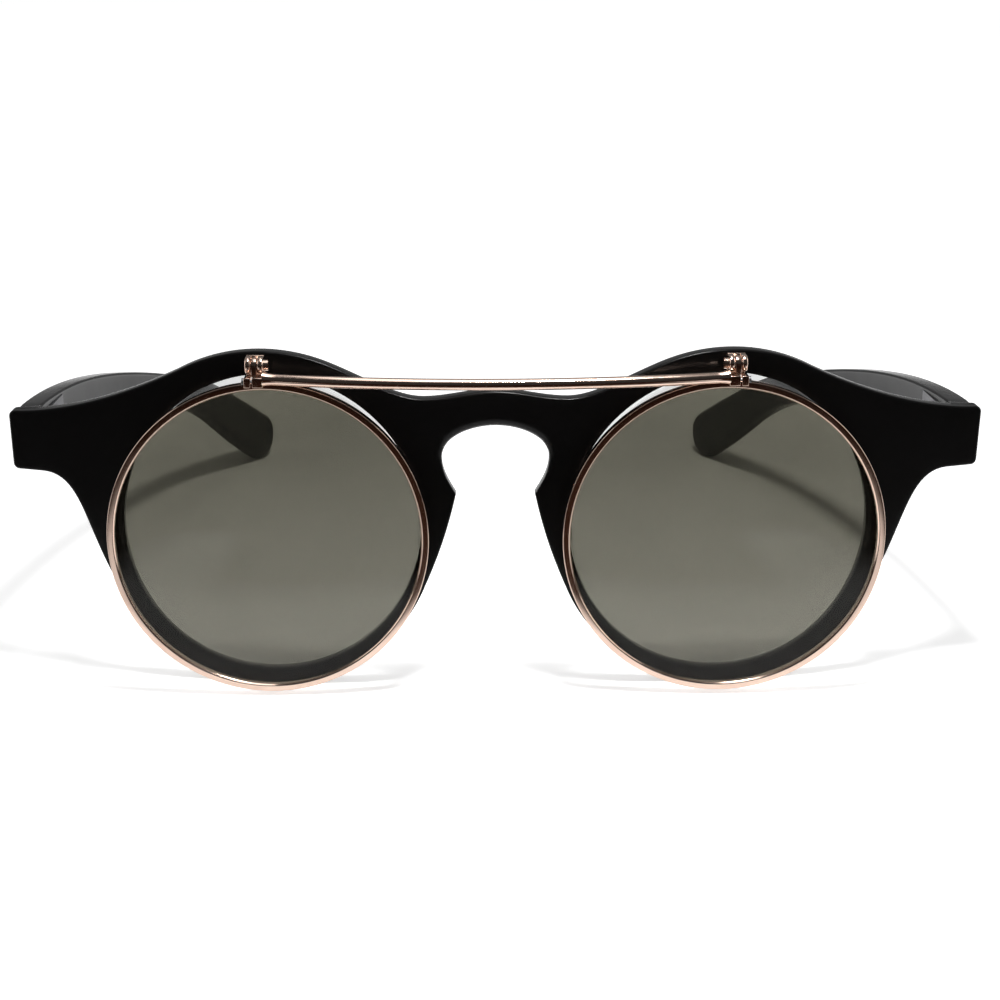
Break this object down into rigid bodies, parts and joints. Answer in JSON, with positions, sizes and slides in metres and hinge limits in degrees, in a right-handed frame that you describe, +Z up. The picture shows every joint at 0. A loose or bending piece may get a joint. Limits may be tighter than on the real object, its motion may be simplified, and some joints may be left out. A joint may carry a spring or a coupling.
{
  "type": "flip up sunglasses",
  "caption": "Round black-framed sunglasses: a rose-gold rimmed tinted pair flips up on a brow hinge in front of clear lenses; keyhole bridge, folding temples.",
  "frame": {"origin": "middle of the bounding box, on the surface that the rims and temple tips stand on", "axes": "+X to the wearer's left, +Y back along the temples, so the front looks along -Y, +Z up"},
  "size_m": [0.1484, 0.1433, 0.0528],
  "materials": {
    "black_acetate": "satin black cellulose acetate",
    "rose_gold": "polished rose-gold plating",
    "steel": "fine machined steel",
    "clear_lens": "clear, polished",
    "tinted_lens": "grey-green tint, polished"
  },
  "bodies": {
    "front": {"front_frame": "black_acetate", "clear_lens_left": "clear_lens", "clear_lens_right": "clear_lens", "brow_hinge_plate_left": "rose_gold", "brow_hinge_plate_right": "rose_gold", "brow_hinge_rivets": "steel", "flip_hinge_screw_left": "rose_gold", "flip_hinge_screw_right": "rose_gold", "front_hinge_leaf_left": "steel", "front_hinge_leaf_right": "steel", "front_hinge_pins": "steel", "temple_hinge_screw_left": "steel", "temple_hinge_screw_right": "steel"},
    "flip_up": {"flip_rim_left": "rose_gold", "flip_rim_right": "rose_gold", "flip_hinge_leaf_left": "rose_gold", "flip_hinge_leaf_right": "rose_gold", "rim_closing_screws": "steel", "tinted_lens_left": "tinted_lens", "tinted_lens_right": "tinted_lens", "flip_bar": "rose_gold"},
    "left_temple": {"temple_left": "black_acetate", "temple_hinge_leaf_left": "steel", "temple_hinge_pins_left": "steel"},
    "right_temple": {"temple_right": "black_acetate", "temple_hinge_leaf_right": "steel", "temple_hinge_pins_right": "steel"}
  },
  "joints": [
    {"name": "flip_hinge", "type": "hinge", "parent": "front", "child": "flip_up", "pos_m": [0, -0.06751, 0.05124], "axis": [-1, 0, 0], "range_deg": [0, 100]},
    {"name": "left_temple_hinge", "type": "hinge", "parent": "front", "child": "left_temple", "pos_m": [0.06815, -0.0542, 0.038], "axis": [0, 0, 1], "range_deg": [0, 80]},
    {"name": "right_temple_hinge", "type": "hinge", "parent": "front", "child": "right_temple", "pos_m": [-0.06815, -0.0542, 0.038], "axis": [0, 0, -1], "range_deg": [0, 72]}
  ]
}
